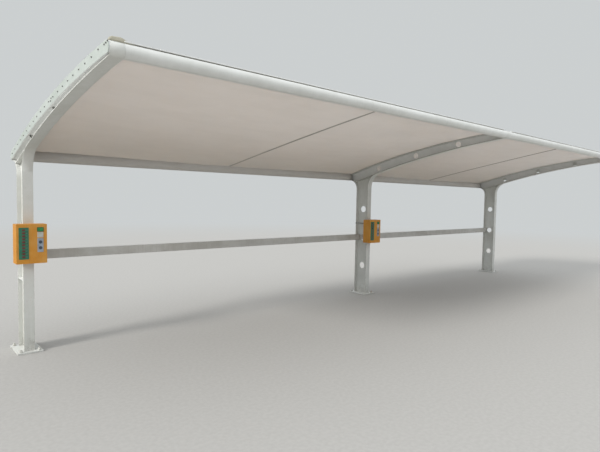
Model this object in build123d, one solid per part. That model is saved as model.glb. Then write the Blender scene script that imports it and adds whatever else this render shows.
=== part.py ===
from build123d import *
import os
from math import cos, hypot, pi, sin, sqrt

os.makedirs("parts", exist_ok=True)

# A cantilevered bicycle and e-bike shelter. Three welded frames carry two bays of
# tensioned white membrane between a front pipe and a rear pipe.
# Units are millimetres. X runs along the shelter, Y points to the back, Z is up.
# The origin is the centre of the middle post's foot.

# Where the frames stand
left_bay = 5355.0            # middle frame to left frame, seven stalls
right_bay = 4590.0           # middle frame to right frame, six stalls

# Frame section, a welded I of three plates
flange_width = 100.0
flange_thickness = 8.0
web_thickness = 6.0
post_depth = 260.0

# Frame outline
pipe_diameter = 102.0        # front and rear pipe, which the flanges wrap round
pipe_wall = 4.0
front_reach = 2537.0         # post centre to front pipe
front_pipe_height = 2592.0
rear_reach = 300.0           # post centre to rear pipe
rear_pipe_height = 2063.0
top_radius = 12500.0         # crown of the arm's top plate
under_radius = 13300.0       # crown of the arm's lower flange
knee_radius = 250.0
knee_drop = 183.0            # the front flange leaves the upright this far below the rear pipe
flare_radius = 160.0         # rear flange, from the upright out to the rear pipe

# Holes that lighten the web
post_hole_diameter = 110.0
post_hole_pitch = 500.0
post_hole_count = 3
arm_hole_diameter = 85.0
arm_hole_first = 330.0       # forward of the post centre
arm_hole_pitch = 750.0
arm_hole_count = 3

# Level plate across the outer channel of the left post
channel_plate_height = 760.0
channel_plate_thickness = 6.0

# Foot
foot_length = 240.0
foot_depth = 380.0
foot_thickness = 16.0
anchor_spacing_x = 175.0
anchor_spacing_y = 310.0
anchor_hole_diameter = 22.0
rib_height = 60.0
rib_length = 50.0
rib_thickness = 8.0

# Lower rail, a flat rectangular tube inside the rear flanges
rail_height = 100.0
rail_depth = 50.0
rail_wall = 3.0
rail_middle_height = 1000.0

# Membrane and its clamps
membrane_thickness = 4.0
bay_hang = 12.0              # rise of the membrane's line at mid bay, rear to front
edge_turn_front = 11.0       # degrees that the edge turns round the front pipe at mid bay
edge_turn_rear = -50.0       # the same on the rear pipe, towards the front
membrane_lift = 0.5          # room between the membrane's drawn line and the pipes
membrane_spans = 16          # straight spans that a bay's saddle is drawn with
skirt_height = 70.0          # membrane turned down outside an end frame
clamp_height = 88.0
clamp_thickness = 8.0
ridge_width = 60.0
ridge_thickness = 5.0
membrane_gap = 4.0           # between the two panels over the middle frame
lip_thickness = 6.0          # end frames: lip that the membrane is clamped to

# Charging cabinets on the front flanges
cabinet_width = 280.0
cabinet_height = 400.0
cabinet_depth = 150.0
cabinet_wall = 2.0
cabinet_foot_left = 950.0
cabinet_foot_middle = 920.0
door_thickness = 3.0
panel_width = 90.0
panel_height = 320.0
panel_thickness = 5.0
panel_from_left = 22.0
panel_drop = 34.0
strap_height = 22.0
strap_thickness = 2.0
strap_drop = 60.0
strap_tab = 26.0

# Derived places
half_depth = post_depth / 2
half_flange = flange_width / 2
half_web = web_thickness / 2
pipe_radius = pipe_diameter / 2
left_x = -left_bay
right_x = right_bay
front_pipe = (-front_reach, front_pipe_height)
rear_pipe = (rear_reach, rear_pipe_height)
knee_height = rear_pipe_height - knee_drop


def move(p, d, length):
    return (p[0] + d[0] * length, p[1] + d[1] * length)


def toward(p, q):
    size = hypot(q[0] - p[0], q[1] - p[1])
    return ((q[0] - p[0]) / size, (q[1] - p[1]) / size)


def back(d):
    return (-d[0], -d[1])


def low_crossing(p, rp, q, rq):
    """Lower crossing of the circle round p with radius rp and the one round q."""
    span = hypot(q[0] - p[0], q[1] - p[1])
    d = toward(p, q)
    along = (span**2 + rp**2 - rq**2) / (2 * span)
    side = sqrt(rp**2 - along**2)
    foot = move(p, d, along)
    both = move(foot, (d[1], -d[0]), side), move(foot, (-d[1], d[0]), side)
    return min(both, key=lambda crossing: crossing[1])


def middle(a, b):
    return toward((0, 0), (a[0] + b[0], a[1] + b[1]))


def arc(centre, radius, start, end, via=None):
    """Arc round centre between two directions, by way of a third."""
    via = via or middle(start, end)
    return ThreePointArc(move(centre, start, radius), move(centre, via, radius),
                         move(centre, end, radius))


def face(*edges):
    return Face(Wire(list(edges)))


def plate(sheet, x_low, x_high):
    """Sheet drawn in Y and Z, as a plate from x_low to x_high."""
    return Pos(x_low, 0, 0) * (Plane.YZ * extrude(sheet, x_high - x_low, dir=(0, 0, 1)))


# Circles of the side view. The top plate touches both pipes from above, the lower
# flange runs on into the wrap round the front pipe, and the flare into the rear one.
crown = low_crossing(front_pipe, top_radius - pipe_radius, rear_pipe, top_radius - pipe_radius)
knee = (-half_depth - knee_radius, knee_height)
under = low_crossing(front_pipe, under_radius + pipe_radius, knee, under_radius - knee_radius)
flare_side = half_depth + flare_radius
flare_drop = sqrt((flare_radius + pipe_radius) ** 2 - (flare_side - rear_reach) ** 2)
flare = (flare_side, rear_pipe_height - flare_drop)

to_tip = toward(crown, front_pipe)
to_rear = toward(crown, rear_pipe)
knee_end = toward(under, knee)
under_end = toward(under, front_pipe)
flare_end = toward(flare, rear_pipe)


def front_line(inset, base):
    """Front flange from the foot over the knee and the arm's underside to the tip."""
    return [
        Line((-half_depth + inset, base), (-half_depth + inset, knee_height)),
        arc(knee, knee_radius + inset, (1, 0), knee_end),
        arc(under, under_radius + inset, knee_end, under_end),
        arc(front_pipe, pipe_radius - inset, back(under_end), to_tip, (-1, 0)),
    ]


def rear_line(inset, base):
    """Rear flange from the foot over the flare and round the rear pipe."""
    return [
        Line((half_depth - inset, base), (half_depth - inset, flare[1])),
        arc(flare, flare_radius + inset, (-1, 0), flare_end),
        arc(rear_pipe, pipe_radius - inset, back(flare_end), to_rear, (1, 0)),
    ]


def band(low, high, start=to_tip, end=to_rear):
    """Strip along the crown of the arm, between two radii."""
    return face(arc(crown, low, start, end),
                Line(move(crown, end, low), move(crown, end, high)),
                arc(crown, high, start, end),
                Line(move(crown, start, high), move(crown, start, low)))


def between(lines, inset, base):
    outer, inner = lines(0, base), lines(inset, base)
    return face(*outer, *inner, Line(outer[0] @ 0, inner[0] @ 0),
                Line(outer[-1] @ 1, inner[-1] @ 1))


# Frame plates, drawn once and used three times
foot_top = foot_thickness
front_sheet = between(front_line, flange_thickness, foot_top)
rear_sheet = between(rear_line, flange_thickness, foot_top)
top_sheet = band(top_radius - flange_thickness, top_radius)
front_inner = front_line(flange_thickness, foot_top)
rear_inner = rear_line(flange_thickness, foot_top)
web_sheet = face(*front_inner, arc(crown, top_radius - flange_thickness, to_tip, to_rear),
                 *rear_inner, Line(front_inner[0] @ 0, rear_inner[0] @ 0))
outline = face(*front_line(0, foot_top), arc(crown, top_radius, to_tip, to_rear),
               *rear_line(0, foot_top), Line((-half_depth, foot_top), (half_depth, foot_top)))

# The lip and the skirt stop clear of the wraps round the pipes. The edge clamp runs
# on past the tips, cut to the frame's own outline.
lip_start = toward(crown, (front_pipe[0] + pipe_diameter, front_pipe[1]))
lip_end = toward(crown, (rear_pipe[0] - pipe_diameter, rear_pipe[1]))
past_tip = toward(crown, (front_pipe[0] - pipe_diameter, front_pipe[1]))
past_rear = toward(crown, (rear_pipe[0] + pipe_diameter, rear_pipe[1]))
clamp_sheet = band(top_radius - clamp_height, top_radius, past_tip, past_rear) & outline
ridge_sheet = band(top_radius + membrane_thickness,
                   top_radius + membrane_thickness + ridge_thickness)

# The stiffener carries the lower flange straight on through the head of the post
run = (knee_end[1], -knee_end[0])
knee_point = move(under, knee_end, under_radius)
stiff_far = move(knee_point, run, knee_radius + post_depth + flare_radius)
stiff_drop = back(knee_end)
stiff_band = Polygon(knee_point, stiff_far, move(stiff_far, stiff_drop, flange_thickness),
                     move(knee_point, stiff_drop, flange_thickness), align=None)
stiff_sheet = web_sheet & stiff_band
web_low, web_high = (web_sheet - stiff_band).faces().sort_by(Axis.Y)

# Holes along the middle of the post and of the arm
post_holes = [Pos(0, post_hole_pitch * (i + 1)) * Circle(post_hole_diameter / 2)
              for i in range(post_hole_count)]


def arm_hole(forward):
    top = crown[1] + sqrt(top_radius**2 - (crown[0] + forward) ** 2)
    low = under[1] + sqrt(under_radius**2 - (under[0] + forward) ** 2)
    return Pos(-forward, (top + low) / 2) * Circle(arm_hole_diameter / 2)


arm_holes = [arm_hole(arm_hole_first + i * arm_hole_pitch) for i in range(arm_hole_count)]


def cut(sheet, holes):
    for hole in holes:
        sheet = sheet - hole
    return sheet


post_web_sheet = cut(web_low, post_holes)
arm_web_sheet = cut(web_high, arm_holes)


def foot(x):
    sheet = Pos(0, 0, foot_thickness / 2) * Box(foot_length, foot_depth, foot_thickness)
    for hole in GridLocations(anchor_spacing_x, anchor_spacing_y, 2, 2):
        sheet -= hole * Cylinder(anchor_hole_diameter / 2, 3 * foot_thickness)
    rib = Polygon((half_depth, foot_top), (half_depth + rib_length, foot_top),
                  (half_depth, foot_top + rib_height), align=None)
    return Pos(x, 0, 0) * (sheet + plate(rib, -rib_thickness / 2, rib_thickness / 2))


def frame(name, x, lip_side=0):
    """One welded frame. An end frame has a lip that hangs from its outer top edge."""
    top = plate(top_sheet, -half_flange, half_flange)
    if lip_side:
        hang = band(top_radius - clamp_height, top_radius - flange_thickness, lip_start, lip_end)
        sides = sorted((lip_side * half_flange, lip_side * (half_flange - lip_thickness)))
        top += plate(hang, *sides)
    solids = {
        "foot": foot(0),
        "post_web": plate(post_web_sheet, -half_web, half_web),
        "arm_web": plate(arm_web_sheet, -half_web, half_web),
        "head_stiffener": plate(stiff_sheet, -half_flange, half_flange),
        "front_flange": plate(front_sheet, -half_flange, half_flange),
        "rear_flange": plate(rear_sheet, -half_flange, half_flange),
        "top_plate": top,
    }
    return {f"{part}_{name}": Pos(x, 0, 0) * solid for part, solid in solids.items()}


def turned(start, end, share):
    return middle(move((0, 0), start, 1 - share), move((0, 0), end, share))


def lean(degrees):
    """Direction that leans back from the vertical by an angle."""
    tip = Vector(0, 1).rotate(Axis.Z, -degrees)
    return (tip.X, tip.Y)


def hanging_section(share):
    """Membrane cut across the bay. Share is 0 at a frame and 1 at mid bay."""
    front = turned(to_tip, lean(edge_turn_front), share)
    rear = turned(to_rear, lean(edge_turn_rear), share)
    rest = pipe_radius + membrane_lift
    p, q = move(front_pipe, front, rest), move(rear_pipe, rear, rest)
    chord = toward(p, q)
    up = (-chord[1], chord[0])
    half = hypot(q[0] - p[0], q[1] - p[1]) / 2
    crown_rise = top_radius - sqrt(top_radius**2 - half**2)
    rise = crown_rise * (1 - share) + bay_hang * share
    mid = move(move(p, chord, half), up, rise)
    p_top, q_top = (move(p, front, membrane_thickness), move(q, rear, membrane_thickness))
    return face(ThreePointArc(p, mid, q), Line(q, q_top),
                ThreePointArc(p_top, move(mid, up, membrane_thickness), q_top), Line(p_top, p))


def membrane(outer_x, inner_x, side):
    """Panel from an end frame to the middle one, with a skirt outside the end frame."""
    start, end = outer_x - side * half_flange, inner_x + side * half_flange
    sections = []
    for i in range(membrane_spans + 1):
        # the spans are short near the frames, where the edges turn fastest
        turn = pi * i / membrane_spans
        x = start + (end - start) * (1 - cos(turn)) / 2
        sections.append(Pos(x, 0, 0) * (Plane.YZ * hanging_section(sin(turn) ** 2)))
    panel = loft(sections, ruled=True)
    seat = band(top_radius, top_radius + membrane_thickness)
    skirt = band(top_radius - skirt_height, top_radius + membrane_thickness, lip_start, lip_end)
    outer_edge = outer_x + side * half_flange
    inner_edge = inner_x + side * membrane_gap / 2
    panel += plate(seat, *sorted((outer_edge, start)))
    panel += plate(seat, *sorted((end, inner_edge)))
    panel += plate(skirt, *sorted((outer_edge, outer_edge + side * membrane_thickness)))
    return panel


def edge_clamp(x, side):
    inner = x + side * (half_flange + membrane_thickness)
    return plate(clamp_sheet, *sorted((inner, inner + side * clamp_thickness)))


def pipe(centre, a, b):
    ring = Pos(*centre) * (Circle(pipe_radius) - Circle(pipe_radius - pipe_wall))
    return plate(ring, a + half_flange, b - half_flange)


def rail(a, b):
    back_face = half_depth - flange_thickness
    ring = Rectangle(rail_depth, rail_height)
    ring -= Rectangle(rail_depth - 2 * rail_wall, rail_height - 2 * rail_wall)
    ring = Pos(back_face - rail_depth / 2, rail_middle_height) * ring
    return plate(ring, a + half_web, b - half_web)


def block(x, y, z):
    """Box between two limits on each axis."""
    size = [high - low for low, high in (x, y, z)]
    return Pos(x[0], y[0], z[0]) * Box(*size, align=(Align.MIN, Align.MIN, Align.MIN))


def channel_plate(x, side):
    """Level plate between the flanges of a post, on one side of its web."""
    depth = half_depth - flange_thickness
    low = channel_plate_height - channel_plate_thickness
    plate_x = sorted((x + side * half_web, x + side * half_flange))
    return block(plate_x, (-depth, depth), (low, channel_plate_height))


def cabinet(name, x, low):
    high = low + cabinet_height
    back_y = -half_depth
    door_back = back_y - cabinet_depth + door_thickness
    door_front = back_y - cabinet_depth
    half = cabinet_width / 2
    wall = cabinet_wall
    case = block((-half, half), (door_back, back_y), (low, high))
    case -= block((-half + wall, half - wall), (door_back - wall, back_y - wall),
                  (low + wall, high - wall))
    left = -half + panel_from_left
    top = high - panel_drop
    opening = ((left, left + panel_width), (top - panel_height, top))
    door = block((-half, half), (door_front, door_back), (low, high))
    door -= block(opening[0], (door_front - wall, door_back + wall), opening[1])
    panel = block(opening[0], (door_back - panel_thickness, door_back), opening[1])
    strap_z = (high - strap_drop - strap_height, high - strap_drop)
    grip = half_flange + strap_thickness
    strap = block((-grip, grip), (back_y, half_depth + strap_thickness), strap_z)
    strap -= block((-half_flange, half_flange), (back_y - wall, half_depth), strap_z)
    for side in (-1, 1):
        ends = sorted((side * half_flange, side * (half_flange + strap_tab)))
        strap += block(ends, (back_y, back_y + strap_thickness), strap_z)
    solids = {"case": case, "door": door, "socket_panel": panel, "strap": strap}
    return {f"cabinet_{part}_{name}": Pos(x, 0, 0) * solid for part, solid in solids.items()}


nodes = {}
nodes.update(frame("left", left_x, -1))
nodes.update(frame("middle", 0))
nodes.update(frame("right", right_x, 1))
nodes["channel_plate_left"] = channel_plate(left_x, -1)
nodes["front_pipe_left"] = pipe(front_pipe, left_x, 0)
nodes["front_pipe_right"] = pipe(front_pipe, 0, right_x)
nodes["rear_pipe_left"] = pipe(rear_pipe, left_x, 0)
nodes["rear_pipe_right"] = pipe(rear_pipe, 0, right_x)
nodes["lower_rail_left"] = rail(left_x, 0)
nodes["lower_rail_right"] = rail(0, right_x)
nodes["membrane_left"] = membrane(left_x, 0, -1)
nodes["membrane_right"] = membrane(right_x, 0, 1)
nodes["edge_clamp_left"] = edge_clamp(left_x, -1)
nodes["edge_clamp_right"] = edge_clamp(right_x, 1)
nodes["ridge_clamp_middle"] = plate(ridge_sheet, -ridge_width / 2, ridge_width / 2)
nodes.update(cabinet("left", left_x, cabinet_foot_left))
nodes.update(cabinet("middle", 0, cabinet_foot_middle))

total = 0.0
for node, solid in nodes.items():
    total += solid.volume
    export_step(solid, f"parts/{node}.step")
    print(f"{node}: {solid.volume / 1e6:.3f} litres, valid {solid.is_valid}, "
          f"solids {len(solid.solids())}")
print(f"{len(nodes)} nodes, {total / 1e6:.2f} litres")
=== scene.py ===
# %% [markdown]
# # A membrane shelter, finished for its picture
# The real shelter is a row of three welded steel frames that lean forward and carry a white
# coated membrane. The frame loaded here already has every plate, pipe and cabinet at its
# true size. This lesson adds what the eye looks for: paint that has weathered, cloth with
# folds and welded laps, screws, battens, weld beads and nuts.

# %% Load the frame and keep its box
from math import acos, asin, atan2, ceil, cos, hypot, pi, radians, sin, sqrt

import bmesh
import bpy
from mathutils import Matrix, Vector


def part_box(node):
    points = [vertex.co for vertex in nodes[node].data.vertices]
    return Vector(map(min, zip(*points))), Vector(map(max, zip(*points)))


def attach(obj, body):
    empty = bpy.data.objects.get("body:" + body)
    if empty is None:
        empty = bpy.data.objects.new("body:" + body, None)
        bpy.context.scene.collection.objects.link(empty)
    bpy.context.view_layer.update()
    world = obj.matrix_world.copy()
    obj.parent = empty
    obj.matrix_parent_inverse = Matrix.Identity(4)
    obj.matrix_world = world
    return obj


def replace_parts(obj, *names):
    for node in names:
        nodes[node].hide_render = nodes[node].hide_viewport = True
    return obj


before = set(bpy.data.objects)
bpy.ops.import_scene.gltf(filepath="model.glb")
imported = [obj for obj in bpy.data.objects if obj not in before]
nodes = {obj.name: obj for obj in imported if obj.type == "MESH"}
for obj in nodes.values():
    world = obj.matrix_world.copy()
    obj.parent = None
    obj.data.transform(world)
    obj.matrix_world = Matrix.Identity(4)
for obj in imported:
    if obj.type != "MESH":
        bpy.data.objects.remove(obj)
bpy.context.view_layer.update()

# %% [markdown]
# ## Sizes that everything else is worked out from
# The new pieces have to sit on the steel, so their places are read off the frame and not
# typed in. A box is enough for the pipes and posts. The roof's line needs one radius more,
# because a curved plate's box doesn't say how round it is.

# %% Read the posts, the pipes and the plates
millimetre = 0.001
sides = ("left", "middle", "right")
post_x = {side: sum(corner.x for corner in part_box(f"post_web_{side}")) / 2 for side in sides}


def pipe_centre(node):
    """Centre of a pipe that runs along X, as Y and Z, and its radius."""
    low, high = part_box(node)
    return Vector(((low.y + high.y) / 2, (low.z + high.z) / 2)), (high.z - low.z) / 2


front_pipe, pipe_radius = pipe_centre("front_pipe_left")
rear_pipe, _ = pipe_centre("rear_pipe_left")
crown_radius = 12.5               # of the frames' upper edge
top_low, top_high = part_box("top_plate_middle")
half_flange = (top_high.x - top_low.x) / 2
web_low, web_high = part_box("post_web_left")
half_web = (web_high.x - web_low.x) / 2
foot_top = web_low.z
print(f"Posts at {[round(x, 3) for x in post_x.values()]}, pipe {2000 * pipe_radius:.0f} mm")

# %% [markdown]
# ## The line of the roof
# On each frame the cloth lies on a round crown that touches both pipes from above. Between
# the frames it is pulled straight from pipe to pipe, so the roof is a saddle. One function
# gives any point of it. The share says how far a place is from the frames: 0 on a frame and
# 1 at mid bay. A function is used here and not a cloth simulation, because a tensioned
# membrane has the shape that its edges give it, and the edges are known.

# %% Work out the crown and the hanging line
middle_rise = 12 * millimetre     # of the cloth's line at mid bay
front_turn, rear_turn = 11, -50   # degrees round the pipes, where the cloth leaves them
cloth_thickness = 1.2 * millimetre
cloth_seat = 0.6 * millimetre     # under the cloth


def lean(degrees):
    """Direction in Y and Z that leans back from the vertical."""
    return Vector((sin(radians(degrees)), cos(radians(degrees))))


span = rear_pipe - front_pipe
square = Vector((-span.y, span.x)).normalized()
drop = sqrt((crown_radius - pipe_radius) ** 2 - (span.length / 2) ** 2)
crown = (front_pipe + rear_pipe) / 2 - square * drop
to_front, to_rear = ((pipe - crown).normalized() for pipe in (front_pipe, rear_pipe))


def hems(share):
    """Directions from the front and the rear pipe's centre to where the cloth leaves them."""
    return (to_front.lerp(lean(front_turn), share).normalized(),
            to_rear.lerp(lean(rear_turn), share).normalized())


def roof_line(share, along, lift=0.0):
    """Point of the roof in Y and Z. Along is 0 at the front pipe and 1 at the rear one."""
    front, rear = hems(share)
    p, q = front_pipe + front * pipe_radius, rear_pipe + rear * pipe_radius
    half = (q - p).length / 2
    crown_rise = crown_radius - sqrt(crown_radius**2 - half**2)
    rise = crown_rise * (1 - share) + middle_rise * share
    radius = (half**2 + rise**2) / (2 * rise)
    forward = (q - p).normalized()
    up = Vector((-forward.y, forward.x))
    turn = asin(half / radius) * (2 * along - 1)
    normal = up * cos(turn) + forward * sin(turn)
    return p + forward * half - up * (radius - rise) + normal * (radius + lift)


roof_length = 2 * crown_radius * asin(span.length / 2 / (crown_radius - pipe_radius))
print(f"Over a frame the cloth is {roof_length:.3f} m from pipe to pipe")

# %% [markdown]
# ## Helpers for meshes
# A piece is built from a list of corners and a list of faces. Blender has ready-made
# shapes as well, but with corners of its own a piece can follow the roof's line exactly.
# Every new piece rides on the one body and names the finish that it belongs to.

# %% Turn corners and faces into pieces
finishes = {}


def piece(name, corners, faces, finish, slot, smooth=False, flat=None):
    """Makes an object that rides on the shelter.

    Flat is for cloth: each corner's place on the flat cloth, or two axes to take it from.
    """
    mesh = bpy.data.meshes.new(name)
    mesh.from_pydata([tuple(c) for c in corners], [], faces)
    mesh.validate()
    if flat:
        if len(flat) == 2:
            flat = [(corner[flat[0]], corner[flat[1]]) for corner in corners]
        layer = mesh.uv_layers.new(name="cloth")
        for loop in mesh.loops:
            layer.data[loop.index].uv = flat[loop.vertex_index]
    mesh.polygons.foreach_set("use_smooth", [smooth] * len(mesh.polygons))
    mesh.materials.append(finishes[finish])
    made = bpy.data.objects.new(name, mesh)
    bpy.context.scene.collection.objects.link(made)
    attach(made, "root")
    return made


def grid(rows, columns, turned=False, base=0):
    """Faces between corners that are listed row by row, turned over if asked."""
    faces = []
    for i in range(rows - 1):
        for j in range(columns - 1):
            a = base + i * columns + j
            face = (a, a + 1, a + columns + 1, a + columns)
            faces.append(face[::-1] if turned else face)
    return faces


def thicken(made, thickness, offset):
    """Gives a sheet its thickness, out (1), in (-1) or to both sides (0)."""
    body = made.modifiers.new("cloth thickness", "SOLIDIFY")
    body.thickness, body.offset = thickness, offset
    return made


print("Ready to make pieces from corners")

# %% [markdown]
# ### One mesh for many small parts
# Screws, nuts and bars repeat dozens of times. They could be copied as objects, but here
# those of one place go into one mesh, which keeps the list of pieces short. Everything in
# it is a row of rings with a skin: a turned profile, a bar with chamfers, or a bead.

# %% Collect small parts in one shape
def in_metres(profile):
    """A turned part's profile of (radius, height) pairs, given in millimetres."""
    return [(radius * millimetre, height * millimetre) for radius, height in profile]


class Shape:
    """Collects corners and faces, so that many small parts share one mesh."""

    def __init__(self):
        self.corners, self.faces = [], []

    def rings(self, rings, closed=False):
        """Skins a row of rings that have the same number of corners."""
        base, count = len(self.corners), len(rings[0])
        for ring in rings:
            self.corners += ring
        for i in range(len(rings) if closed else len(rings) - 1):
            a, b = base + i * count, base + (i + 1) % len(rings) * count
            for j in range(count):
                k = (j + 1) % count
                self.faces.append((a + j, a + k, b + k, b + j))
        if not closed:
            last = base + (len(rings) - 1) * count
            self.faces.append(tuple(reversed(range(base, base + count))))
            self.faces.append(tuple(range(last, last + count)))

    def turned(self, place, axis, profile, segments=12, start=0.0):
        """Revolves a profile of (radius, height) pairs round an axis that starts at a place."""
        axis = axis.normalized()
        side = axis.orthogonal().normalized()
        other = axis.cross(side)
        turns = [start + 2 * pi * j / segments for j in range(segments)]
        self.rings([[place + axis * height + side * radius * cos(turn)
                     + other * radius * sin(turn) for turn in turns]
                    for radius, height in profile])

    def bar(self, a, b, across, up, width, height, chamfer):
        """Flat bar from a to b with chamfered upper edges. A and b are on its underside."""
        half = width / 2
        section = [(-half, 0), (half, 0), (half, height - chamfer), (half - chamfer, height),
                   (-half + chamfer, height), (-half, height - chamfer)]
        self.rings([[end + across * s + up * t for s, t in section] for end in (a, b)])

    def made(self, name, finish, slot, **more):
        """Makes the piece and turns its faces outward."""
        made = piece(name, self.corners, self.faces, finish, slot, **more)
        work = bmesh.new()
        work.from_mesh(made.data)
        bmesh.ops.recalc_face_normals(work, faces=work.faces)
        work.to_mesh(made.data)
        work.free()
        return made


print("Ready to collect bars, rings and turned parts")

# %% [markdown]
# ## Outlines of flat plates
# Welds and packings follow the rim of a flat plate. The rim is read from the plate's own
# mesh: the edges of its flat face that belong to one face only, strung into closed loops.

# %% Follow a plate's outline
def rim_loops(node):
    """Closed outlines of a flat plate's face on its -X side, as lists of (y, z)."""
    work = bmesh.new()
    work.from_mesh(nodes[node].data)
    bmesh.ops.remove_doubles(work, verts=work.verts, dist=0.01 * millimetre)
    face_x = min(v.co.x for v in work.verts)
    uses = {}
    for f in work.faces:
        if all(abs(v.co.x - face_x) < 0.01 * millimetre for v in f.verts):
            for e in f.edges:
                uses[e.index] = uses.get(e.index, 0) + 1
    work.edges.ensure_lookup_table()
    links, place = {}, {}
    for a, b in (work.edges[i].verts for i, n in uses.items() if n == 1):
        links.setdefault(a.index, []).append(b.index)
        links.setdefault(b.index, []).append(a.index)
        place.update({v.index: Vector((v.co.y, v.co.z)) for v in (a, b)})
    loops, left = [], set(links)
    while left:
        here, loop, before = min(left), [], None
        while here in left:
            left.remove(here)
            loop.append(place[here])
            onward = [n for n in links[here] if n != before]
            before, here = here, onward[0] if onward[0] in left else onward[-1]
        loops.append(loop)
    work.free()
    return loops


def pairs(loop):
    """Each corner of a closed outline with the next one."""
    return zip(loop, loop[1:] + loop[:1])


def area_of(loop):
    return sum(a.x * b.y - b.x * a.y for a, b in pairs(loop)) / 2


def outline_of(node):
    """The longest way round a flat plate."""
    return max(rim_loops(node), key=lambda loop: abs(area_of(loop)))


def inset(loop, distance):
    """Outline moved inward by a distance."""
    if area_of(loop) < 0:
        loop = loop[::-1]
    moved = []
    for before, (here, after) in zip(loop[-1:] + loop[:-1], pairs(loop)):
        a, b = (here - before).normalized(), (after - here).normalized()
        inward = Vector((-a.y - b.y, a.x + b.x)).normalized()
        moved.append(here + inward * distance)
    return moved


print(f"The left arm's web has {len(rim_loops('arm_web_left'))} outlines")

# %% [markdown]
# ## Helpers for finishes
# A finish is a small net of shader nodes. Effects that several finishes need are built once
# as node groups: rain streaks, splashed grit, the skin of brushed paint, rust, worn edges
# and a woven surface. A group gives out only masks, heights and tones. The shader that uses
# them stays in the finish, where its plain numbers are set on its own sockets.

# %% Write nodes in a few words
class Net:
    """The nodes of a finish or a group. A value is plain or another node's output."""

    def __init__(self, tree):
        self.tree = tree

    def feed(self, value, socket):
        if isinstance(value, bpy.types.NodeSocket):
            self.tree.links.new(value, socket)
        else:
            socket.default_value = (*value, 1) if socket.type == "RGBA" else value

    def add(self, kind, inputs, **settings):
        """Adds a node and returns its outputs."""
        node = self.tree.nodes.new("ShaderNode" + kind)
        for name, value in settings.items():
            setattr(node, name, value)
        for name, value in inputs.items():
            self.feed(value, node.inputs[name])
        return node.outputs

    def use(self, group, **inputs):
        """Places a node group and returns its outputs."""
        return self.add("Group", inputs, node_tree=group)

    def maths(self, operation, a, b=0.0):
        return self.add("Math", {0: a, 1: b}, operation=operation)[0]

    def times(self, value, *others):
        for other in others:
            value = self.maths("MULTIPLY", value, other)
        return value

    def plus(self, a, b):
        return self.maths("ADD", a, b)

    def less(self, a, b):
        return self.maths("SUBTRACT", a, b)

    def both(self, a, share_a, b, share_b):
        """Adds two values, each by its share."""
        return self.plus(self.times(a, share_a), self.times(b, share_b))

    def fade(self, value, low, high, to_low=0.0, to_high=1.0, way="SMOOTHSTEP"):
        """Smooth step of a value between two limits."""
        return self.add("MapRange", {"Value": value, "From Min": low, "From Max": high,
                                     "To Min": to_low, "To Max": to_high},
                        interpolation_type=way)[0]

    def blend(self, share, a, b):
        """Mixes two colours by a share."""
        return self.add("Mix", {0: share, 6: a, 7: b}, data_type="RGBA")[2]

    def noise(self, vector, scale, detail=3.0, roughness=0.55):
        return self.add("TexNoise", {"Vector": vector, "Scale": scale, "Detail": detail,
                                     "Roughness": roughness})["Fac"]

    def place(self):
        """The place on the object, in metres."""
        return self.add("TexCoord", {})["Object"]

    def split(self, vector):
        return self.add("SeparateXYZ", {0: vector})

    def stretched(self, vector, by):
        return self.add("VectorMath", {0: vector, 1: by}, operation="MULTIPLY")[0]

    def gives(self, **outputs):
        """Ends a group with its named outputs."""
        for label in outputs:
            self.tree.interface.new_socket(label, in_out="OUTPUT",
                                           socket_type="NodeSocketFloat")
        out = self.tree.nodes.new("NodeGroupOutput").inputs
        for label, value in outputs.items():
            self.feed(value, out[label])
        print(f"Built the {self.tree.name}")
        return self.tree


def effect(name, **inputs):
    """Starts a node group with its named inputs."""
    net = Net(bpy.data.node_groups.new(name, "ShaderNodeTree"))
    for label, value in inputs.items():
        socket = net.tree.interface.new_socket(label, in_out="INPUT",
                                               socket_type="NodeSocketFloat")
        socket.default_value = value
    return net, net.tree.nodes.new("NodeGroupInput").outputs


print("Ready to mix finishes")

# %% [markdown]
# ### Rain streaks
# Rain carries dust down an upright face and leaves long narrow marks. Noise that is
# squeezed sideways and drawn out in height gives the same lines on every post, at the
# same size, whatever the piece's own mesh is.

# %% Rain streaks
net, given = effect("rain streaks", Width=0.02, Length=0.5)
across, along = (net.maths("DIVIDE", 1.0, given[label]) for label in ("Width", "Length"))
squeeze = net.add("CombineXYZ", {"X": across, "Y": across, "Z": along})[0]
fine = net.noise(net.stretched(net.place(), squeeze), 1.0, 4.0)
broad = net.noise(net.place(), 2.2, 2.0)
streaks = net.gives(Mask=net.times(net.fade(fine, 0.46, 0.72), net.fade(broad, 0.35, 0.7)))

# %% [markdown]
# ### Splashed grit
# Rain that splashes up leaves grit on the lowest hand's breadth of every post. The mask
# falls off with height, and noise breaks its upper edge.

# %% Splashed grit
net, given = effect("splashed grit", Height=0.3)
where = net.place()
ragged = net.times(net.noise(where, 16.0, 5.0), given["Height"])
wet = net.fade(net.plus(net.split(where)["Z"], ragged), 0.0, given["Height"], 1.0, 0.0,
               way="LINEAR")
grit = net.fade(net.noise(where, 90.0, 4.0), 0.3, 0.62)
splash = net.gives(Mask=net.times(wet, net.plus(grit, 0.25)))

# %% [markdown]
# ### Paint skin
# Site paint is never even. It has a fine orange peel, and over a metre or so its tone
# wanders where the coat is thin. The group gives the peel as a height, and the wandering as
# a tone that drives both colour and gloss.

# %% Paint skin
net, given = effect("paint skin", Peel=0.004)
where = net.place()
peel = net.noise(where, net.maths("DIVIDE", 1.0, given["Peel"]), 2.0)
run = net.noise(net.stretched(where, (9.0, 9.0, 2.5)), 1.0)
patchy = net.both(net.noise(where, 1.7, 4.0), 0.6, net.noise(where, 11.0), 0.4)
skin = net.gives(Height=net.both(peel, 0.7, run, 0.6), Tone=net.fade(patchy, 0.36, 0.64))

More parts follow.
